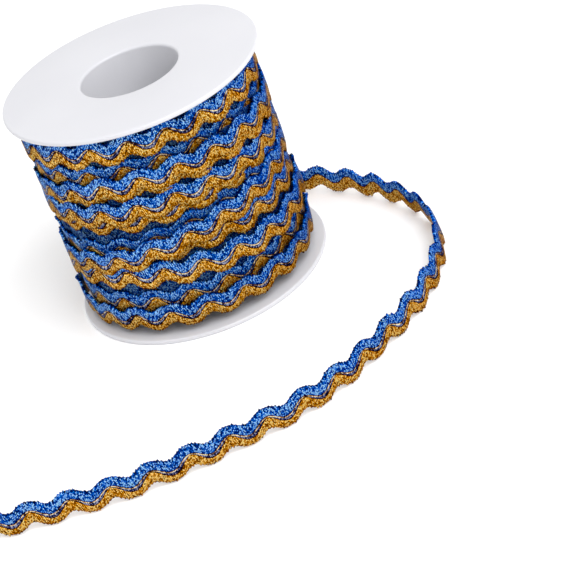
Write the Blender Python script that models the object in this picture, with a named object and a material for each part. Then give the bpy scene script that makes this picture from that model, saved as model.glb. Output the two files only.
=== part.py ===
# Roll of ric rac: a wavy two-tone braid wound on a one-piece flanged plastic spool,
# with its loose end running round the front of the spool on the surface.
# Metres, +Z up. Origin: centre of the lower flange's underside, on the spool's axis.

import math

import bmesh
import bpy
import numpy as np
from mathutils import Vector

MM = 0.001
GAP = 0.0003

# Spool
FLANGE_RADIUS = 0.032
SPOOL_HEIGHT = 0.058
FLANGE_THICKNESS = 0.0012
RIM_ROUND = 0.0004
BORE_RADIUS = 0.0122
LIP_ROUND = 0.0007
CORE_RADIUS = 0.0148
SPOOL_STEPS = 64

# Braid
BRAID_WIDTH = 0.0058
BRAID_THICKNESS = 0.0012
WAVE_RISE = 0.0009

# Winding
WAVES_PER_TURN = 20
COLUMNS_PER_WAVE = 6
EDGE_STEP = 0.0011
EDGE_LEDGE = 0.00012
CROWN = 0.00035
LEAST_BAND = 0.0005
SHRINK_AT_FLANGE = 0.0016

# Azimuths in degrees at which the table of turns gives each turn's height
HEIGHT_AZIMUTHS = (-150, -120, -90, -60, -30)

# Outer turns from the top down. Columns: height of the turn's middle in mm at the five
# azimuths, azimuth of one crest in degrees, outer radius in mm, and whether the turn's
# lower edge lies over the next turn down.
TURNS = (
    ((52.9, 53.2, 53.3, 53.3, 53.3), -99.7, 29.5, True),
    ((47.4, 48.0, 48.1, 48.1, 47.9), -106.0, 28.8, False),
    ((41.3, 43.1, 43.8, 43.9, 43.6), -100.6, 30.0, True),
    ((36.6, 37.6, 37.8, 37.4, 37.0), -107.3, 29.7, True),
    ((34.2, 34.4, 34.7, 35.8, 36.6), -104.0, 29.4, True),
    ((29.8, 29.8, 30.3, 32.0, 33.0), -99.0, 28.6, False),
    ((26.0, 27.2, 29.5, 31.2, 32.2), -104.5, 29.0, False),
    ((22.0, 24.3, 26.8, 29.0, 30.0), -108.5, 29.9, True),
    ((21.4, 23.4, 24.4, 24.0, 23.8), -107.0, 29.2, True),
    ((18.1, 19.0, 18.2, 17.5, 17.4), -107.5, 30.2, True),
    ((11.9, 12.1, 12.2, 12.4, 12.5), -97.5, 29.3, False),
    ((5.8, 6.7, 7.0, 7.6, 7.7), -92.0, 30.4, True),
)

# Loose end, from the lowest turn at the back right, round the right side and along the
# front, on its lower edge. Columns: x and y in mm, lean in degrees of its upper edge
# towards the spool, and how far in mm it is held above the height at which it would rest.
LOOSE_END_ROUTE = (
    (6.6, 30.7, 0, 4.3),
    (11.4, 29.5, 0, 4.1),
    (20.8, 25.3, 0, 2.6),
    (31.8, 18.9, 0, 0.6),
    (41.0, 11.3, 0, 0.0),
    (49.0, 0.8, 0, 0.0),
    (54.7, -11.4, 3, 0.0),
    (56.8, -22.9, 8, 0.0),
    (55.4, -33.4, 10, 0.0),
    (52.1, -42.3, 8, 0.0),
    (46.7, -51.0, 5, 0.0),
    (40.2, -58.1, 3, 0.0),
    (31.7, -65.5, 0, 0.0),
    (23.3, -71.9, 0, 0.0),
    (14.8, -76.4, 0, 0.0),
    (6.1, -79.2, 0, 0.0),
    (-2.5, -80.9, 0, 0.0),
    (-11.0, -82.5, 0, 0.0),
    (-19.7, -83.7, 0, 0.0),
    (-28.2, -84.3, 0, 0.0),
    (-36.8, -84.1, 0, 0.0),
    (-45.6, -83.3, 2, 0.0),
    (-54.4, -82.2, 3, 0.0),
    (-66.4, -79.9, 3, 0.0),
)
LOOSE_WAVE_LENGTH = 0.0092
FIRST_WAVE = 0.436
STATIONS_PER_WAVE = 6
SURFACE_CLEARANCE = 0.0001


def clear_scene():
    for item in list(bpy.data.objects):
        bpy.data.objects.remove(item, do_unlink=True)


def make_material(name, colour, roughness, metallic):
    material = bpy.data.materials.new(name)
    material.use_nodes = True
    shader = material.node_tree.nodes["Principled BSDF"]
    shader.inputs["Base Color"].default_value = (*colour, 1.0)
    shader.inputs["Roughness"].default_value = roughness
    shader.inputs["Metallic"].default_value = metallic
    return material


def finish_object(name, mesh_data, material, smooth_angle):
    # Closes the bmesh into a named object, faces outward and shaded smooth.
    bmesh.ops.recalc_face_normals(mesh_data, faces=mesh_data.faces[:])
    mesh = bpy.data.meshes.new(name)
    mesh_data.to_mesh(mesh)
    mesh_data.free()
    mesh.shade_smooth()
    mesh.set_sharp_from_angle(angle=math.radians(smooth_angle))
    item = bpy.data.objects.new(name, mesh)
    item.data.materials.append(material)
    bpy.context.collection.objects.link(item)
    return item


def arc_points(centre_x, centre_z, radius, start, end, steps=2):
    # Points of an arc in the XZ plane, angles in degrees from +X towards +Z.
    points = []
    for k in range(steps + 1):
        angle = math.radians(start + (end - start) * k / steps)
        points.append((centre_x + radius * math.cos(angle), centre_z + radius * math.sin(angle)))
    return points


def flange_rim(low, high):
    # Rounded rim of one flange, from its lower face to its upper face.
    x = FLANGE_RADIUS - RIM_ROUND
    lower = arc_points(x, low + RIM_ROUND, RIM_ROUND, -90, 0)
    upper = arc_points(x, high - RIM_ROUND, RIM_ROUND, 0, 90)
    return lower + upper


def spool_profile():
    # Closed section of the spool: bore lip, lower flange, core, upper flange, bore lip.
    top = SPOOL_HEIGHT
    lip_x = BORE_RADIUS + LIP_ROUND
    profile = arc_points(lip_x, LIP_ROUND, LIP_ROUND, 180, 270)
    profile += flange_rim(0.0, FLANGE_THICKNESS)
    profile.append((CORE_RADIUS, FLANGE_THICKNESS))
    profile.append((CORE_RADIUS, top - FLANGE_THICKNESS))
    profile += flange_rim(top - FLANGE_THICKNESS, top)
    profile += arc_points(lip_x, top - LIP_ROUND, LIP_ROUND, 90, 180)
    return profile


def build_spool(material):
    mesh_data = bmesh.new()
    verts = [mesh_data.verts.new((x, 0.0, z)) for x, z in spool_profile()]
    edges = [mesh_data.edges.new((verts[k - 1], verts[k])) for k in range(len(verts))]
    bmesh.ops.spin(
        mesh_data,
        geom=verts + edges,
        cent=(0.0, 0.0, 0.0),
        axis=(0.0, 0.0, 1.0),
        angle=math.tau,
        steps=SPOOL_STEPS,
        use_merge=True,
    )
    bmesh.ops.remove_doubles(mesh_data, verts=mesh_data.verts[:], dist=1e-6)
    return finish_object("spool", mesh_data, material, 40)


def skin_rings(mesh_data, rings, closed):
    # Faces between successive rings of points; the last meets the first where closed.
    loops = [[mesh_data.verts.new(point) for point in ring] for ring in rings]
    pairs = list(zip(loops, loops[1:]))
    if closed:
        pairs.append((loops[-1], loops[0]))
    for lower, upper in pairs:
        count = len(lower)
        for k in range(count):
            n = (k + 1) % count
            mesh_data.faces.new((lower[k], lower[n], upper[n], upper[k]))
    return loops


def turn_height(turn, azimuths):
    # Height of a turn's middle right round, in metres: through the table's heights at the
    # front, and eased back from the left one to the right one behind.
    heights = turn[0]
    knots = np.array(HEIGHT_AZIMUTHS + (HEIGHT_AZIMUTHS[0] + 360,), float)
    values = np.array(heights + (heights[0],), float)
    wrapped = (azimuths - knots[0]) % 360 + knots[0]
    index = np.clip(np.searchsorted(knots, wrapped, side="right") - 1, 0, len(knots) - 2)
    share = (wrapped - knots[index]) / (knots[index + 1] - knots[index])
    eased = share * share * (3 - 2 * share)
    return (values[index] + (values[index + 1] - values[index]) * eased) * MM


def turn_wave(turn, azimuths):
    # Sideways swing of the braid's middle about the turn's height, in metres.
    return WAVE_RISE * np.cos(np.radians((azimuths - turn[1]) * WAVES_PER_TURN))


def band_edges(azimuths):
    # Height of each visible edge between one turn and the next, from the top down.
    lowest = FLANGE_THICKNESS + GAP + LEAST_BAND
    highest = SPOOL_HEIGHT - FLANGE_THICKNESS - GAP
    edges = []
    above = np.full(len(azimuths), highest)
    for k, turn in enumerate(TURNS):
        covers_next = turn[3]
        carrier = turn if covers_next else TURNS[k + 1]
        side = -0.5 if covers_next else 0.5
        edge = turn_height(carrier, azimuths) + turn_wave(carrier, azimuths) + side * BRAID_WIDTH
        edge = np.maximum(np.minimum(edge, above - LEAST_BAND), lowest)
        edges.append(edge)
        above = edge
    return edges


def winding_rings():
    # Rings of the winding's surface: up the bore side, then down the outside, three
    # rings to a turn, so that each turn is a crowned band stepped over its neighbour.
    count = WAVES_PER_TURN * COLUMNS_PER_WAVE
    azimuths = np.arange(count) * 360.0 / count
    edges = band_edges(azimuths)
    low = FLANGE_THICKNESS + GAP
    high = SPOOL_HEIGHT - FLANGE_THICKNESS - GAP
    inner = CORE_RADIUS + GAP
    flat = np.zeros(count)
    rows = [(inner, flat + low), (inner, flat + high)]
    last = len(TURNS) - 1
    for k, turn in enumerate(TURNS):
        radius = turn[2] * MM
        upper = edges[k - 1] - EDGE_LEDGE if k else flat + high
        lower = edges[k] + EDGE_LEDGE
        if k == 0:
            upper_radius = radius - SHRINK_AT_FLANGE
        else:
            lifted = 0.5 if not TURNS[k - 1][3] else -0.5
            upper_radius = (radius + TURNS[k - 1][2] * MM) / 2 + lifted * EDGE_STEP
        if k == last:
            lower_radius = radius
        else:
            lifted = 0.5 if turn[3] else -0.5
            lower_radius = (radius + TURNS[k + 1][2] * MM) / 2 + lifted * EDGE_STEP
        rows.append((upper_radius, upper))
        rows.append((radius + CROWN, (upper + lower) / 2))
        rows.append((lower_radius, lower))
    rows.append((TURNS[last][2] * MM - SHRINK_AT_FLANGE, flat + low))
    cosines = np.cos(np.radians(azimuths))
    sines = np.sin(np.radians(azimuths))
    return [
        [Vector((radius * cosines[j], radius * sines[j], heights[j])) for j in range(count)]
        for radius, heights in rows
    ]


def build_winding(material):
    mesh_data = bmesh.new()
    skin_rings(mesh_data, winding_rings(), closed=True)
    bmesh.ops.triangulate(mesh_data, faces=mesh_data.faces[:])
    return finish_object("winding", mesh_data, material, 50)


def resting_height(lean):
    # Height of the braid's middle above the surface, resting on its lower edge at a lean.
    half_reach = BRAID_WIDTH / 2 + WAVE_RISE
    half_thick = BRAID_THICKNESS / 2
    return half_reach * np.cos(lean) + half_thick * np.sin(lean) + SURFACE_CLEARANCE


def smooth_route(rows, spacing):
    # Rows a set distance apart on a smooth curve through the route (cubic Hermite spans).
    rows = np.array(rows, float)
    chords = np.linalg.norm(np.diff(rows[:, :2], axis=0), axis=1)
    knots = np.concatenate(([0.0], np.cumsum(chords)))
    slopes = np.gradient(rows, knots, axis=0)
    fine = np.linspace(0.0, knots[-1], 2000)
    index = np.clip(np.searchsorted(knots, fine, side="right") - 1, 0, len(knots) - 2)
    span = (knots[index + 1] - knots[index])[:, None]
    t = ((fine - knots[index])[:, None]) / span
    curve = (
        (2 * t**3 - 3 * t**2 + 1) * rows[index]
        + (t**3 - 2 * t**2 + t) * span * slopes[index]
        + (-2 * t**3 + 3 * t**2) * rows[index + 1]
        + (t**3 - t**2) * span * slopes[index + 1]
    )
    curve[:, 3] = np.clip(curve[:, 3], 0.0, math.pi / 2)
    curve[:, 2] = np.maximum(curve[:, 2], 0.0) + resting_height(curve[:, 3])
    steps = np.linalg.norm(np.diff(curve[:, :3], axis=0), axis=1)
    along = np.concatenate(([0.0], np.cumsum(steps)))
    count = max(2, round(along[-1] / spacing))
    wanted = np.linspace(0.0, along[-1], count + 1)
    sampled = np.stack([np.interp(wanted, along, curve[:, c]) for c in range(curve.shape[1])], axis=1)
    return sampled, wanted


def loose_end_sections():
    # Four corners of the flat braid at each station of the route.
    rows = [(x * MM, y * MM, raised * MM, math.radians(lean)) for x, y, lean, raised in LOOSE_END_ROUTE]
    stations, along = smooth_route(rows, LOOSE_WAVE_LENGTH / STATIONS_PER_WAVE)
    tangents = np.gradient(stations[:, :3], along, axis=0)
    sections = []
    for station, tangent, distance in zip(stations, tangents, along):
        forward = Vector(tangent).normalized()
        right = forward.cross(Vector((0.0, 0.0, 1.0))).normalized()
        upright = right.cross(forward).normalized()
        across = upright * math.cos(station[3]) + right * math.sin(station[3])
        outward = upright * math.sin(station[3]) - right * math.cos(station[3])
        swing = WAVE_RISE * math.cos(math.tau * (FIRST_WAVE + distance / LOOSE_WAVE_LENGTH))
        middle = Vector(station[:3]) + across * swing
        half_width = across * BRAID_WIDTH / 2
        half_thick = outward * BRAID_THICKNESS / 2
        sections.append([
            middle - half_width - half_thick,
            middle + half_width - half_thick,
            middle + half_width + half_thick,
            middle - half_width + half_thick,
        ])
    return sections


def build_loose_end(material):
    mesh_data = bmesh.new()
    loops = skin_rings(mesh_data, loose_end_sections(), closed=False)
    mesh_data.faces.new(loops[0])
    mesh_data.faces.new(loops[-1])
    bmesh.ops.triangulate(mesh_data, faces=mesh_data.faces[:])
    return finish_object("loose_end", mesh_data, material, 50)


def main():
    clear_scene()
    build_spool(make_material("white_plastic", (0.86, 0.86, 0.88), 0.35, 0.0))
    build_winding(make_material("wound_braid", (0.03, 0.09, 0.42), 0.55, 0.2))
    build_loose_end(make_material("loose_braid", (0.45, 0.26, 0.04), 0.55, 0.2))


main()
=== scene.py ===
import math

import bpy
import numpy as np
from mathutils import Matrix, Vector


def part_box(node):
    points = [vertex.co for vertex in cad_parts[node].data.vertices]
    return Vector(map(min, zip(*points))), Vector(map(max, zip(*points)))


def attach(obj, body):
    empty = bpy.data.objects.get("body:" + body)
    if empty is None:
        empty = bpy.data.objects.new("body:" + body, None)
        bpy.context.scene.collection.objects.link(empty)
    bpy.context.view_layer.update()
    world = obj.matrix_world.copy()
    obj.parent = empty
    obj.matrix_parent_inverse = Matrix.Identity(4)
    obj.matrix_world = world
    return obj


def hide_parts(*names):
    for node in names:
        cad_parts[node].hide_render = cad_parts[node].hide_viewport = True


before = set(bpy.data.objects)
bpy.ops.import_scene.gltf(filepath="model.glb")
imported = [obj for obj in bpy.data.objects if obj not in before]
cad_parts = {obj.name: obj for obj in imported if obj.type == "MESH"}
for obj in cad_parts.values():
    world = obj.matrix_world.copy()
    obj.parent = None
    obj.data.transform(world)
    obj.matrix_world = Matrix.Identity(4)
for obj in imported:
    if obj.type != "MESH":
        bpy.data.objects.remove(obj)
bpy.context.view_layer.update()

mm = 0.001
print("frame loaded:", sorted(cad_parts))


# helpers

def srgb(hexCode):
    # sRGB hex to the linear colour that the nodes want
    parts = [int(hexCode[k:k + 2], 16) / 255 for k in (0, 2, 4)]
    return tuple(p / 12.92 if p <= 0.04045 else ((p + 0.055) / 1.055) ** 2.4 for p in parts) + (1.0,)


def addNode(tree, kind, inputs=(), output=0, **settings):
    # settings are the node's own; an input that is a socket is linked, any other is set
    node = tree.nodes.new(kind)
    for name, value in settings.items():
        setattr(node, name, value)
    for key, value in inputs.items() if isinstance(inputs, dict) else enumerate(inputs):
        if isinstance(value, bpy.types.NodeSocket):
            tree.links.new(value, node.inputs[key])
        else:
            node.inputs[key].default_value = value
    return node.outputs[output]


def newMaterial(name):
    material = bpy.data.materials.new(name)
    material.use_nodes = True
    return material, material.node_tree, material.node_tree.nodes["Principled BSDF"]


def deselectAll():
    bpy.ops.object.select_all(action="DESELECT")


def easeBetween(at, knots, values):
    # smooth curve through the values at rising knots (cubic Hermite spans)
    knots = np.asarray(knots, float)
    values = np.asarray(values, float)
    slopes = np.gradient(values, knots, axis=0)
    k = np.clip(np.searchsorted(knots, at, side="right") - 1, 0, len(knots) - 2)
    span = knots[k + 1] - knots[k]
    t = (at - knots[k]) / span
    if values.ndim > 1:
        span, t = span[:, None], t[:, None]
    return ((2 * t**3 - 3 * t**2 + 1) * values[k] + (t**3 - 2 * t**2 + t) * span * slopes[k]
            + (-2 * t**3 + 3 * t**2) * values[k + 1] + (t**3 - t**2) * span * slopes[k + 1])


# camera, at the photo's angle

camera = {
    "place": (0.01799, -0.43187, 0.24552),
    "elevation": 30.99,
    "roll": -19.91,
    "lens": 122.75,
    "sensor": 36.0,
}

elevation = math.radians(camera["elevation"])
roll = math.radians(camera["roll"])
backAxis = Vector((0, -math.cos(elevation), math.sin(elevation)))
levelAxis = Vector((1, 0, 0))
riseAxis = backAxis.cross(levelAxis)
rightAxis = levelAxis * math.cos(roll) + riseAxis * math.sin(roll)
upAxis = riseAxis * math.cos(roll) - levelAxis * math.sin(roll)
bpy.ops.object.camera_add()
cameraObject = bpy.context.object
cameraObject.name = "photoCamera"
cameraObject.data.lens = camera["lens"]
cameraObject.data.sensor_width = camera["sensor"]
turned = Matrix((rightAxis, upAxis, backAxis)).transposed().to_4x4()
cameraObject.matrix_world = Matrix.Translation(camera["place"]) @ turned
bpy.context.scene.camera = cameraObject
print("camera placed")


# braid: one flat wavy ric rac, used for the loose end and for the wound turns

braid = {
    "width": 5.8 * mm,         # edge to edge, square across
    "thickness": 1.15 * mm,
    "rise": 0.9 * mm,          # swing of the middle line to each side
    "skew": 0.05,              # a little steeper on one side of each wave
    "scallop": 0.15,           # crests broad and troughs sharp on each edge, share of the rise
    "waveLength": 9.6 * mm,
    "step": 0.37 * mm,         # half an edge loop of yarn
    "loop": 0.60 * mm,         # how far the longest edge loops stand out
    "meeting": 0.58,           # share of the width below the blue
    "sectionPoints": 14,
    "seed": 11,
}


def braidSection(count):
    # closed section: share across (0 gold edge, 1 blue edge) and share of half thickness
    angle = math.tau * (np.arange(count) + 0.5) / count
    sine = np.sin(angle)
    return 0.5 - 0.5 * np.cos(angle), np.sign(sine) * np.abs(sine) ** 0.6


def edgeLoops(rows, seed):
    # every second row is the tip of an edge loop, most short and a few long
    chance = np.random.default_rng(seed).uniform(0.3, 1.0, rows) ** 3
    return np.where(np.arange(rows) % 2, chance, -0.15) * braid["loop"]


def braidMesh(name, line, across, outward, waves, sectionPoints, seed, curlMost=0.0):
    # skins the flat section along a line; waves counts the waves from the start
    phase = math.tau * waves
    swing = braid["rise"] * np.cos(phase + braid["skew"] * np.sin(phase))
    share, depth = braidSection(sectionPoints)
    rows = len(line)
    fromMiddle = 2 * share - 1
    blueEdge = np.maximum(fromMiddle, 0) ** 6
    goldEdge = np.maximum(-fromMiddle, 0) ** 6
    notch = braid["scallop"] * braid["rise"] * np.cos(2 * phase)
    offset = swing[:, None] + fromMiddle[None, :] * (braid["width"] / 2 - notch[:, None])
    offset = offset + edgeLoops(rows, seed)[:, None] * blueEdge
    offset = offset - edgeLoops(rows, seed + 1)[:, None] * goldEdge
    lift = depth * braid["thickness"] / 2
    points = line[:, None, :] + across[:, None, :] * offset[..., None]
    points = points + outward[:, None, :] * lift[None, :, None]
    # the blue edge curls out at the top of each wave, by a chance of its own
    order = (waves - waves[0] + 0.5).astype(int)
    chance = np.random.default_rng(seed + 8).uniform(0, 1, order[-1] + 1)
    curl = curlMost * chance[order] * np.maximum(np.cos(phase), 0)
    points = points + outward[:, None, :] * (curl[:, None] * blueEdge)[..., None]
    ring = np.arange(sectionPoints)
    after = (ring + 1) % sectionPoints
    base = (np.arange(rows - 1) * sectionPoints)[:, None]
    quads = [base + ring, base + after, base + sectionPoints + after, base + sectionPoints + ring]
    faces = np.stack(quads, -1).reshape(-1, 4).tolist()
    caps = [ring[::-1].tolist(), (ring + (rows - 1) * sectionPoints).tolist()]
    mesh = bpy.data.meshes.new(name)
    mesh.from_pydata(points.reshape(-1, 3).tolist(), [], faces + caps)
    mesh.validate()
    layer = mesh.uv_layers.new(name="alongBraid")
    corners = np.empty(len(mesh.loops), np.int32)
    mesh.loops.foreach_get("vertex_index", corners)
    uv = np.stack([waves[corners // sectionPoints], share[corners % sectionPoints]], -1)
    layer.data.foreach_set("uv", uv.astype(np.float32).ravel())
    # the side that faces the reel shows no leaf between blue and gold
    facesReel = ((depth < 0) & (depth[after] < 0)).astype(np.float32)
    reverse = mesh.attributes.new("reverseSide", "FLOAT", "FACE")
    reverse.data.foreach_set("value", np.append(np.tile(facesReel, rows - 1), (0, 0)).astype(np.float32))
    item = bpy.data.objects.new(name, mesh)
    bpy.context.collection.objects.link(item)
    deselectAll()
    item.select_set(True)
    bpy.context.view_layer.objects.active = item
    bpy.ops.object.mode_set(mode="EDIT")
    bpy.ops.mesh.select_all(action="SELECT")
    bpy.ops.mesh.normals_make_consistent(inside=False)
    bpy.ops.object.mode_set(mode="OBJECT")
    bpy.ops.object.shade_smooth()
    return item


# loose end: leaves the lowest turn at the back right and stands on its gold edge round the
# right side and along the front; it has a bare cut end

looseEnd = {
    # x and y in mm, lean in degrees (0 stands, 90 flat), mm above where it would rest
    "route": (
        (6.6, 30.7, 0, 4.3),
        (11.4, 29.5, 0, 4.1),
        (20.8, 25.3, 0, 2.6),
        (31.8, 18.9, 0, 0.6),
        (41.0, 11.3, 0, 0.0),
        (49.0, 0.8, 0, 0.0),
        (54.7, -11.4, 3, 0.0),
        (56.8, -22.9, 8, 0.0),
        (55.4, -33.4, 10, 0.0),
        (52.1, -42.3, 8, 0.0),
        (46.7, -51.0, 5, 0.0),
        (40.2, -58.1, 3, 0.0),
        (31.7, -65.5, 0, 0.0),
        (23.3, -71.9, 0, 0.0),
        (14.8, -76.4, 0, 0.0),
        (6.1, -79.2, 0, 0.0),
        (-2.5, -80.9, 0, 0.0),
        (-11.0, -82.5, 0, 0.0),
        (-19.7, -83.7, 0, 0.0),
        (-28.2, -84.3, 0, 0.0),
        (-36.8, -84.1, 0, 0.0),
        (-45.6, -83.3, 2, 0.0),
        (-54.4, -82.2, 3, 0.0),
        (-66.4, -79.9, 3, 0.0),
    ),
    "clearance": 0.1 * mm,
    "waveLength": 9.2 * mm,    # a little shorter than on the roll, where it is stretched
    "waveShift": -0.12,
    "reach": braid["width"] / 2 + braid["rise"] + 0.1 * mm,
    "lowest": 0.05 * mm,       # edge loops bend where they touch the floor
}


def looseLine():
    rows = [(x * mm, y * mm, raised * mm, math.radians(lean)) for x, y, lean, raised in looseEnd["route"]]
    rows = np.array(rows)
    chords = np.linalg.norm(np.diff(rows[:, :2], axis=0), axis=1)
    knots = np.concatenate(([0.0], np.cumsum(chords)))
    curve = easeBetween(np.linspace(0, knots[-1], 3000), knots, rows)
    lean = np.clip(curve[:, 3], 0, math.pi / 2)
    rest = looseEnd["reach"] * np.cos(lean) + braid["thickness"] / 2 * np.sin(lean) + looseEnd["clearance"]
    curve[:, 2] = np.maximum(curve[:, 2], 0) + rest
    curve[:, 3] = lean
    along = np.concatenate(([0.0], np.cumsum(np.linalg.norm(np.diff(curve[:, :3], axis=0), axis=1))))
    wanted = np.linspace(0, along[-1], round(along[-1] / braid["step"]) + 1)
    curve = np.stack([np.interp(wanted, along, curve[:, c]) for c in range(4)], -1)
    forward = np.gradient(curve[:, :3], wanted, axis=0)
    forward /= np.linalg.norm(forward, axis=1)[:, None]
    right = np.cross(forward, (0, 0, 1))
    right /= np.linalg.norm(right, axis=1)[:, None]
    upright = np.cross(right, forward)
    cosine, sine = np.cos(curve[:, 3])[:, None], np.sin(curve[:, 3])[:, None]
    return curve[:, :3], upright * cosine + right * sine, upright * sine - right * cosine, wanted


# wound turns

wound = {
    "wavesPerTurn": 20,
    "azimuths": (-30, -60, -90, -120, -150),   # where the table gives each turn's height
    # from the top down: height in mm of the middle at the five azimuths, azimuth of one
    # crest, outer radius in mm, and how far its upper and lower edges stand out in mm
    "turns": (
        ((52.8, 52.8, 52.8, 52.7, 52.4), -100.4, 29.7, -0.4, 0.25),
        ((46.3, 46.8, 47.0, 46.6, 46.6), -106.4, 29.3, 0.0, -0.35),
        ((43.7, 43.8, 43.8, 43.0, 41.3), -101.0, 29.9, 0.35, 0.35),
        ((42.6, 42.7, 42.7, 42.2, 40.6), -100.4, 29.6, -0.3, 0.2),
        ((36.6, 36.7, 36.9, 36.3, 36.2), -106.8, 29.7, -0.1, 0.15),
        ((36.4, 35.4, 34.8, 34.2, 34.6), -102.8, 29.5, -0.4, 0.35),
        ((32.8, 31.3, 29.3, 27.5, 26.9), -99.0, 29.0, -0.2, -0.35),
        ((31.7, 30.3, 28.4, 26.0, 25.3), -104.5, 29.1, 0.25, -0.35),
        ((29.6, 28.3, 26.4, 23.8, 22.0), -107.5, 29.9, 0.35, 0.4),
        ((23.8, 23.8, 24.6, 23.9, 22.5), -106.6, 29.5, -0.4, 0.25),
        ((17.2, 17.2, 18.1, 18.9, 18.9), -105.8, 30.1, -0.1, 0.45),
        ((11.4, 11.2, 11.0, 10.8, 10.4), -97.5, 29.4, -0.2, -0.3),
        ((7.2, 7.1, 6.9, 6.5, 6.0), -92.0, 30.2, 0.35, 0.1),
    ),
    "startAzimuth": 90.0,
    "endAzimuth": -282.0 - 360 * 12,
    "endHeight": 8.1,
    "endRadius": 32.0,
    # the turns beneath, seen only through gaps: name, mm above the outer turn, outer radius
    # in mm, shift along in waves
    "beneath": (("innerTurns", 2.2, 28.5, 0.4), ("deepTurns", 4.6, 27.3, 0.15)),
    "topRow": (0.2, -0.6),                     # how the first turn starts: mm higher, mm further in
    "wander": ((0.22, 0.73, 0.0), (0.16, 2.31, 40.0)),   # mm in and out, rate, degrees
    "wanderEnds": 60.0,                        # degrees before the end where the wander fades
    "middleRadius": 30 * mm,
    "curl": 1.1 * mm,                          # how far the blue edge may curl out at a crest
    "past": 0.15 * mm,                         # how far turns may press past the solid's ends
    "fold": 0.8,                               # how far what is pressed back folds inward
}


def turnKnots():
    # knots down the whole helix: azimuth, height, radius, upper lift, lower lift, waves
    rows = []
    first = wound["turns"][0]
    degreesPerWave = 360 / wound["wavesPerTurn"]
    lastWave = None
    for k, (heights, crest, radius, upper, lower) in enumerate(wound["turns"]):
        shift = -360 * k
        start = (crest - wound["azimuths"][0]) / degreesPerWave
        if lastWave is None:
            waveAt = start
        else:
            gap = (rows[-1][0] - (wound["azimuths"][0] + shift)) / degreesPerWave
            waveAt = start + round(lastWave + gap - start)
        for azimuth, height in zip(wound["azimuths"], heights):
            wave = waveAt + (wound["azimuths"][0] - azimuth) / degreesPerWave
            rows.append((azimuth + shift, height, radius, upper, lower, wave))
        lastWave = rows[-1][5]
    higher, outer = wound["topRow"]
    top = (wound["startAzimuth"], first[0][0] + higher, first[2] + outer, 0.0, 0.0,
           rows[0][5] - (wound["startAzimuth"] - rows[0][0]) / degreesPerWave)
    end = (wound["endAzimuth"], wound["endHeight"], wound["endRadius"], 0.0, 0.0,
           lastWave + (rows[-1][0] - wound["endAzimuth"]) / degreesPerWave)
    return np.array([top] + rows + [end])


def woundLine(knots, step):
    # stations down the helix, with the braid tilted so that edges lap over each other
    azimuth = np.arange(-knots[0, 0], -knots[-1, 0], math.degrees(step / wound["middleRadius"]))
    azimuth = np.append(azimuth, -knots[-1, 0])
    values = np.stack([np.interp(azimuth, -knots[:, 0], knots[:, c]) for c in range(1, 6)], -1)
    smooth = easeBetween(azimuth, -knots[:, 0], knots[:, 1:5])
    wander = sum(size * np.sin(np.radians(azimuth * rate + start)) for size, rate, start in wound["wander"])
    fade = np.clip((azimuth[-1] - azimuth) / wound["wanderEnds"], 0, 1)
    height = smooth[:, 0] * mm
    radius = (smooth[:, 1] + wander * fade) * mm - braid["thickness"] / 2
    tilt = (smooth[:, 2] - smooth[:, 3]) * mm / braid["width"]
    radius = radius + (smooth[:, 2] + smooth[:, 3]) / 2 * mm
    angle = np.radians(-azimuth)
    radial = np.stack([np.cos(angle), np.sin(angle), 0 * angle], -1)
    line = radial * radius[:, None]
    line[:, 2] = height
    upward = np.array((0.0, 0.0, 1.0))
    across = upward[None, :] * np.cos(tilt)[:, None] + radial * np.sin(tilt)[:, None]
    outward = radial * np.cos(tilt)[:, None] - upward[None, :] * np.sin(tilt)[:, None]
    return line, across, outward, values[:, 4]


knots = turnKnots()
line, across, outward, waves = woundLine(knots, braid["step"])
outerTurns = braidMesh("outerTurns", line, across, outward, waves, braid["sectionPoints"], braid["seed"],
                       wound["curl"])
print("outer turns:", len(line), "stations")

turnsBeneath = []
for layer, (name, rise, radius, shift) in enumerate(wound["beneath"]):
    layerKnots = knots.copy()
    layerKnots[:, 1] += rise
    layerKnots[:, 2] = radius
    layerKnots[:, 3:5] = 0
    layerLine, layerAcross, layerOutward, layerWaves = woundLine(layerKnots, 2 * braid["step"])
    turnsBeneath.append(braidMesh(name, layerLine, layerAcross, layerOutward, layerWaves + shift,
                                  braid["sectionPoints"] - 2, braid["seed"] + 2 + 4 * layer))
print("turns beneath:", len(turnsBeneath), "layers")

looseMiddle, looseAcross, looseOutward, looseAlong = looseLine()
looseWaves = waves[-1] + looseEnd["waveShift"] + looseAlong / looseEnd["waveLength"]
looseEndPiece = braidMesh("looseEnd", looseMiddle, looseAcross, looseOutward, looseWaves,
                          braid["sectionPoints"], braid["seed"] + 4)
for vertex in looseEndPiece.data.vertices:
    vertex.co.z = max(vertex.co.z, looseEnd["lowest"])
print("loose end:", round(float(looseAlong[-1]), 4), "m")


def keepBetweenFlanges(item, low, high):
    # the braid is pressed under the flanges: what would pass one is folded back inward
    points = np.empty(len(item.data.vertices) * 3, np.float32)
    item.data.vertices.foreach_get("co", points)
    points = points.reshape(-1, 3)
    over = np.maximum(points[:, 2] - high, 0) + np.maximum(low - points[:, 2], 0)
    radius = np.linalg.norm(points[:, :2], axis=1)
    points[:, :2] *= ((radius - wound["fold"] * over) / radius)[:, None]
    points[:, 2] = np.clip(points[:, 2], low, high)
    item.data.vertices.foreach_set("co", points.ravel())
    item.data.update()


spoolLow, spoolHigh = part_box("spool")
windingLow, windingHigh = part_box("winding")
for item in [outerTurns] + turnsBeneath:
    keepBetweenFlanges(item, windingLow.z - wound["past"], windingHigh.z + wound["past"])


# spool: one injection-moulded polypropylene reel

spool = {
    "flangeRadius": spoolHigh.x,
    "height": spoolHigh.z,
    "flange": 1.2 * mm,
    "bore": 12.2 * mm,
    "lip": 0.7 * mm,
    "core": 14.8 * mm,
    "rimRound": 0.45 * mm,
    "sides": 160,
    "arcSteps": 5,
}


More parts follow.
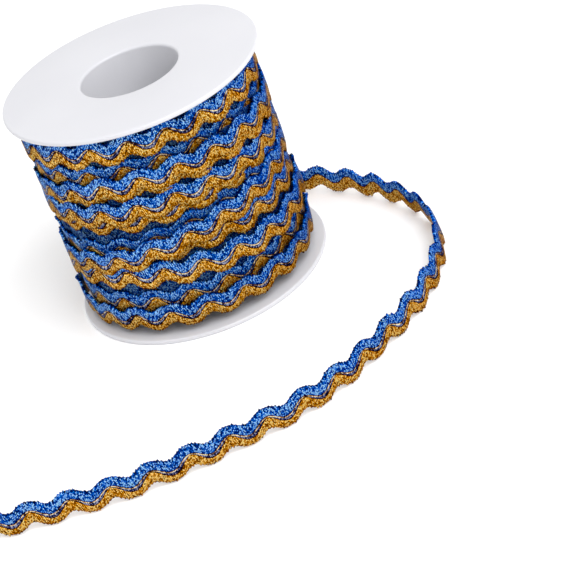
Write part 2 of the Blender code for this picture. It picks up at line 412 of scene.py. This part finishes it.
def arcProfile(centreX, centreZ, radius, start, end):
    steps = spool["arcSteps"]
    angles = [math.radians(start + (end - start) * k / steps) for k in range(steps + 1)]
    return [(centreX + radius * math.cos(a), centreZ + radius * math.sin(a)) for a in angles]


def buildSpool():
    top, rim, lip = spool["height"], spool["rimRound"], spool["lip"]
    rimX, lipX = spool["flangeRadius"] - rim, spool["bore"] + lip
    profile = arcProfile(lipX, lip, lip, 180, 270)
    profile += arcProfile(rimX, rim, rim, -90, 0) + arcProfile(rimX, spool["flange"] - rim, rim, 0, 90)
    profile += [(spool["core"], spool["flange"]), (spool["core"], top - spool["flange"])]
    profile += arcProfile(rimX, top - spool["flange"] + rim, rim, -90, 0)
    profile += arcProfile(rimX, top - rim, rim, 0, 90)
    profile += arcProfile(lipX, top - lip, lip, 90, 180)
    deselectAll()
    bpy.ops.mesh.primitive_circle_add(vertices=spool["sides"], radius=profile[0][0],
                                      location=(0, 0, profile[0][1]))
    item = bpy.context.object
    item.name = "reel"
    bpy.ops.object.transform_apply(location=True, rotation=True, scale=True)
    bpy.ops.object.mode_set(mode="EDIT")
    bpy.ops.mesh.select_all(action="SELECT")
    for (x0, z0), (x1, z1) in zip(profile, profile[1:]):
        bpy.ops.mesh.extrude_region_move(TRANSFORM_OT_translate={"value": (0, 0, z1 - z0)})
        if abs(x1 - x0) > 1e-7:
            bpy.ops.transform.resize(value=(x1 / x0, x1 / x0, 1), center_override=(0, 0, 0))
    bpy.ops.mesh.select_all(action="DESELECT")
    bpy.ops.mesh.select_non_manifold()
    bpy.ops.mesh.bridge_edge_loops()
    bpy.ops.mesh.select_all(action="SELECT")
    bpy.ops.mesh.remove_doubles(threshold=1e-6)
    bpy.ops.mesh.normals_make_consistent(inside=False)
    bpy.ops.object.mode_set(mode="OBJECT")
    bpy.ops.object.shade_smooth_by_angle(angle=math.radians(35))
    return item


reel = buildSpool()
print("reel:", len(reel.data.polygons), "faces")


# materials

plasticLook = {
    "face": "C6C6CB",
    "cloud": "CFCFD3",
    "cloudSize": 22 * mm,      # slow change of tone where the melt flowed
    "grainSize": 0.6 * mm,     # moulded grain, drawn coarser than the real 0.1 mm
    "roughness": (0.30, 0.42),
}


def mouldedWhite():
    # injection-moulded white polypropylene: satin, slightly translucent, faintly clouded
    material, tree, shader = newMaterial("mouldedWhitePolypropylene")
    look = plasticLook
    place = addNode(tree, "ShaderNodeTexCoord", output="Object")
    cloud = addNode(tree, "ShaderNodeTexNoise", {"Vector": place, "Scale": 1 / look["cloudSize"]})
    tint = addNode(tree, "ShaderNodeMix", {0: cloud, 6: srgb(look["face"]), 7: srgb(look["cloud"])},
                   output=2, data_type="RGBA")
    rough = addNode(tree, "ShaderNodeMapRange",
                    {"Value": cloud, "To Min": look["roughness"][0], "To Max": look["roughness"][1]})
    grain = addNode(tree, "ShaderNodeTexNoise", {"Vector": place, "Scale": 1 / look["grainSize"]})
    bump = addNode(tree, "ShaderNodeBump", {"Height": grain, "Strength": 0.06, "Distance": 0.1 * mm})
    tree.links.new(tint, shader.inputs["Base Color"])
    tree.links.new(rough, shader.inputs["Roughness"])
    tree.links.new(bump, shader.inputs["Normal"])
    shader.inputs["IOR"].default_value = 1.49
    shader.inputs["Subsurface Weight"].default_value = 0.12
    shader.inputs["Subsurface Radius"].default_value = (1.2 * mm, 1.2 * mm, 1.3 * mm)
    shader.inputs["Subsurface Scale"].default_value = 1.0
    return material


braidLook = {
    "floatAlong": 0.37 * mm,   # pitch of the slanting floats, drawn as coarse as shows
    "floatAcross": 0.54 * mm,
    "stray": 0.08 * mm,        # how far floats wander from their rows
    "leanHeight": 2.5,         # height across a float that leans most, in float heights
    "meetSwing": 0.045,        # how far the colour border swings past the middle, share of width
    "leaf": 0.15,              # grey-blue leaf under the blue where it is widest, share of width
    "leafLean": 1.3,           # above one, the leaf is widest past the trough
    "thread": 0.054,           # pale thread between blue and leaf, share of width
    "bead": 0.75 * mm,         # length of thread that shows between two crossing yarns
    "line": 0.040,             # dark line where two colours meet, share of width
    "lobe": 0.14,              # share of width over which each colour swells from the border
    "beneathMeeting": 0.15,    # gaps show mostly the blue of the turns beneath
    "beneathShade": 0.5,       # share of dark, as little light gets down there
    # tone to colour: the dark end is painted shade in the gaps between floats, the bright end painted
    # glints on the film
    "blueTones": ((0.0, "00062C"), (0.25, "001E72"), (0.5, "0040B0"), (0.72, "006CEC"), (0.88, "109AFF"),
                  (1.0, "B4E6FF")),
    "goldTones": ((0.0, "200A00"), (0.25, "703600"), (0.5, "BE6E00"), (0.72, "EC9C04"), (0.88, "FFC020"),
                  (1.0, "FFEE9C")),
    "leafTones": ((0.0, "030620"), (0.3, "1A265C"), (0.6, "465088"), (1.0, "C4C8DC")),
    "threadTones": ((0.0, "200C00"), (0.35, "8A5420"), (0.65, "E8AE56"), (1.0, "FFF4CC")),
}


def toneColour(tree, tone, stops):
    # colours a tone by the stops of a ramp
    colour = addNode(tree, "ShaderNodeValToRGB", (tone,))
    ramp = colour.node.color_ramp
    while len(ramp.elements) < len(stops):
        ramp.elements.new(1.0)
    for element, (position, hexCode) in zip(ramp.elements, stops):
        element.position = position
        element.color = srgb(hexCode)
    return colour


def metallicBraid(name, meeting, shade):
    # metallic ric rac: flat metallised film wrapped on yarn and braided on the slant, so each float is a
    # short strip, some bright and some dull at random; the brightest are painted glints, and the dark gaps
    # between floats are painted shade
    material, tree, shader = newMaterial(name)
    look = braidLook
    calc = "ShaderNodeMath"
    mix = "ShaderNodeMix"

    uv = addNode(tree, "ShaderNodeUVMap", uv_map="alongBraid")
    wave = addNode(tree, "ShaderNodeSeparateXYZ", (uv,), output=0)
    share = addNode(tree, "ShaderNodeSeparateXYZ", (uv,), output=1)
    along = addNode(tree, calc, (wave, braid["waveLength"] / look["floatAlong"]), operation="MULTIPLY")
    over = addNode(tree, calc, (share, braid["width"] / look["floatAcross"]), operation="MULTIPLY")

    # floats lie on two slants; each cell of the slanting grid is one float
    flat = addNode(tree, "ShaderNodeCombineXYZ", (along, over, 0.0))
    drift = addNode(tree, "ShaderNodeTexNoise", {"Vector": flat, "Scale": 0.5, "Detail": 1.0})
    strayShare = 2 * look["stray"] / look["floatAcross"]
    overMoved = addNode(tree, calc, (drift, strayShare, over), operation="MULTIPLY_ADD")
    slantA = addNode(tree, calc, (along, overMoved), operation="ADD")
    slantB = addNode(tree, calc, (along, overMoved), operation="SUBTRACT")
    cellA = addNode(tree, calc, (slantA,), operation="FLOOR")
    cellB = addNode(tree, calc, (slantB,), operation="FLOOR")
    cell = addNode(tree, "ShaderNodeCombineXYZ", (cellA, cellB, 0.0))
    chance = addNode(tree, "ShaderNodeTexWhiteNoise", {"Vector": cell}, noise_dimensions="3D")
    cellSum = addNode(tree, calc, (cellA, cellB), operation="ADD")
    turned = addNode(tree, calc, (cellSum, 2.0), operation="FLOORED_MODULO")
    insideA = addNode(tree, calc, (slantA,), operation="FRACT")
    insideB = addNode(tree, calc, (slantB,), operation="FRACT")
    angleA = addNode(tree, calc, (insideA, math.pi), operation="MULTIPLY")
    angleB = addNode(tree, calc, (insideB, math.pi), operation="MULTIPLY")
    domeA = addNode(tree, calc, (angleA,), operation="SINE")
    domeB = addNode(tree, calc, (angleB,), operation="SINE")
    ridge = addNode(tree, mix, {0: turned, 2: domeB, 3: domeA})
    ends = addNode(tree, calc, (domeA, domeB), operation="MULTIPLY")
    height = addNode(tree, mix, {0: 0.45, 2: ridge, 3: ends})
    # every float lies at an angle of its own, so only some catch the light
    across = addNode(tree, calc, (insideA, 0.5), operation="SUBTRACT")
    lean = addNode(tree, calc, (chance, 0.5), operation="SUBTRACT")
    slope = addNode(tree, calc, (across, lean), operation="MULTIPLY")
    uneven = addNode(tree, calc, (slope, look["leanHeight"], height), operation="MULTIPLY_ADD")

    # where blue meets gold: from each crest a grey-blue leaf opens towards the next crest and
    # closes there, under a pale thread; the reverse side has neither
    reverse = addNode(tree, "ShaderNodeAttribute", output="Fac", attribute_name="reverseSide")
    front = addNode(tree, calc, (1.0, reverse), operation="SUBTRACT")
    phase = addNode(tree, calc, (wave, math.tau), operation="MULTIPLY")
    rise = addNode(tree, calc, (phase,), operation="COSINE")
    border = addNode(tree, calc, (rise, look["meetSwing"], meeting), operation="MULTIPLY_ADD")
    below = addNode(tree, calc, (border, share), operation="SUBTRACT")
    backward = addNode(tree, calc, (wave, -1.0), operation="MULTIPLY")
    climb = addNode(tree, calc, (backward,), operation="FRACT")
    leaning = addNode(tree, calc, (climb, look["leafLean"]), operation="POWER")
    opening = addNode(tree, calc, (leaning, math.pi), operation="MULTIPLY")
    leafOpen = addNode(tree, calc, (opening,), operation="SINE")
    leafWide = addNode(tree, calc, (leafOpen, look["leaf"], look["thread"]), operation="MULTIPLY_ADD")
    leafLow = addNode(tree, calc, (leafWide, front), operation="MULTIPLY")
    threadLow = addNode(tree, calc, (front, look["thread"]), operation="MULTIPLY")
    isGold = addNode(tree, calc, (below, leafLow), operation="GREATER_THAN")
    isLeaf = addNode(tree, calc, (below, threadLow), operation="GREATER_THAN")
    isThread = addNode(tree, calc, (below, 0.0), operation="GREATER_THAN")

    # tone of each float: its own chance, whose brightest end is painted glints, and its height, a painted
    # highlight on the ridge with painted shade in the gaps; dark along the line and painted shade at the
    # edges
    body = addNode(tree, calc, (chance, 1.10, -0.45), operation="MULTIPLY_ADD")
    # the float's height added to its tone paints a highlight on its ridge and shade at its ends
    tone = addNode(tree, calc, (height, 0.82, body), operation="MULTIPLY_ADD")
    fromMiddle = addNode(tree, calc, (share, 0.5), operation="SUBTRACT")
    edgeNear = addNode(tree, calc, (fromMiddle,), operation="ABSOLUTE")
    # painted shade darkens the tone towards both rims of the braid
    paintedRimShade = addNode(tree, "ShaderNodeMapRange", {"Value": edgeNear, "From Min": 0.43, "From Max": 0.5,
                                                 "To Min": 0.0, "To Max": 0.20})
    tone = addNode(tree, calc, (tone, paintedRimShade), operation="SUBTRACT")
    fromBlue = addNode(tree, calc, (below,), operation="ABSOLUTE")
    pastLeaf = addNode(tree, calc, (below, leafLow), operation="SUBTRACT")
    fromGold = addNode(tree, calc, (pastLeaf,), operation="ABSOLUTE")
    nearest = addNode(tree, calc, (fromBlue, fromGold), operation="MINIMUM")
    dark = addNode(tree, "ShaderNodeMapRange", {"Value": nearest, "From Min": 0.0, "From Max": look["line"],
                                                "To Min": 0.80, "To Max": 0.0})
    tone = addNode(tree, calc, (tone, dark), operation="SUBTRACT")
    beadAt = addNode(tree, calc, (wave, braid["waveLength"] / look["bead"]), operation="MULTIPLY")
    bead = addNode(tree, calc, (beadAt,), operation="FLOOR")
    beadChance = addNode(tree, "ShaderNodeTexWhiteNoise", {"W": bead}, noise_dimensions="1D")
    dulled = addNode(tree, calc, (tone, 0.38), operation="SUBTRACT")
    beaded = addNode(tree, calc, (beadChance, 1.1, dulled), operation="MULTIPLY_ADD")
    beadedDull = addNode(tree, calc, (beadChance, 0.5, dulled), operation="MULTIPLY_ADD")

    colour = toneColour(tree, tone, look["blueTones"])
    thread = toneColour(tree, beaded, look["threadTones"])
    leaf = toneColour(tree, beadedDull, look["leafTones"])
    gold = toneColour(tree, tone, look["goldTones"])
    for covers, layer in ((isThread, thread), (isLeaf, leaf), (isGold, gold), (shade, srgb("04071A"))):
        colour = addNode(tree, mix, {0: covers, 6: colour, 7: layer}, output=2, data_type="RGBA")

    lobe = addNode(tree, "ShaderNodeMapRange", {"Value": nearest, "From Max": look["lobe"]},
                   interpolation_type="SMOOTHSTEP")
    relief = addNode(tree, calc, (lobe, 1.2, uneven), operation="MULTIPLY_ADD")
    bump = addNode(tree, "ShaderNodeBump", {"Height": relief, "Strength": 0.9, "Distance": 0.2 * mm})
    tree.links.new(colour, shader.inputs["Base Color"])
    tree.links.new(bump, shader.inputs["Normal"])
    shader.inputs["Metallic"].default_value = 1.0
    shader.inputs["Roughness"].default_value = 0.28
    # film seen edge-on hides behind its neighbours, so the braid stays dark at its rims
    shader.inputs["Specular Tint"].default_value = (0.15, 0.15, 0.20, 1.0)
    return material


whitePlastic = mouldedWhite()
reel.data.materials.append(whitePlastic)
outerTurns.data.materials.append(metallicBraid("metallisedFilmBraid", braid["meeting"], 0.0))
beneathFilm = metallicBraid("metallisedFilmBraidBeneath", braidLook["beneathMeeting"],
                            braidLook["beneathShade"])
for item in turnsBeneath:
    item.data.materials.append(beneathFilm)
looseEndPiece.data.materials.append(bpy.data.materials["metallisedFilmBraid"])
print("materials made")


# what rides on what

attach(reel, "root")
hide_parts("spool")
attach(outerTurns, "root")
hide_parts("winding")
for item in turnsBeneath:
    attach(item, "root")
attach(looseEndPiece, "root")
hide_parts("loose_end")


# floor and light

studio = {
    "floorSize": 6.0,
    "floorColour": "FFFFFF",
    "worldStrength": 0.90,
    "keyWatts": 6.2,
    "keySize": 0.7,
    "keyPlace": (0.34, -0.46, 0.70),
    "fillWatts": 0.25,
    "fillSize": 0.7,
    "fillPlace": (-0.6, -0.5, 0.5),
}

deselectAll()
bpy.ops.mesh.primitive_plane_add(size=studio["floorSize"], location=(0, 0, 0))
floor = bpy.context.object
floor.name = "floor"
floorMaterial, floorTree, floorShader = newMaterial("paleFloor")
floorShader.inputs["Base Color"].default_value = srgb(studio["floorColour"])
floorShader.inputs["Roughness"].default_value = 0.9
floorShader.inputs["Specular IOR Level"].default_value = 0.1
floor.data.materials.append(floorMaterial)


def softLight(name, place, watts, size):
    bpy.ops.object.light_add(type="AREA", location=place)
    lamp = bpy.context.object
    lamp.name = name
    lamp.data.energy = watts
    lamp.data.size = size
    toCentre = Vector((0, 0, 0.025)) - Vector(place)
    lamp.rotation_euler = toCentre.to_track_quat("-Z", "Y").to_euler()
    return lamp


softLight("keyLight", studio["keyPlace"], studio["keyWatts"], studio["keySize"])
softLight("fillLight", studio["fillPlace"], studio["fillWatts"], studio["fillSize"])
world = bpy.data.worlds.new("studioWorld")
world.use_nodes = True
world.node_tree.nodes["Background"].inputs[0].default_value = (1, 1, 1, 1)
world.node_tree.nodes["Background"].inputs[1].default_value = studio["worldStrength"]
bpy.context.scene.world = world
bpy.context.scene.view_settings.view_transform = "Standard"
print("studio lit")
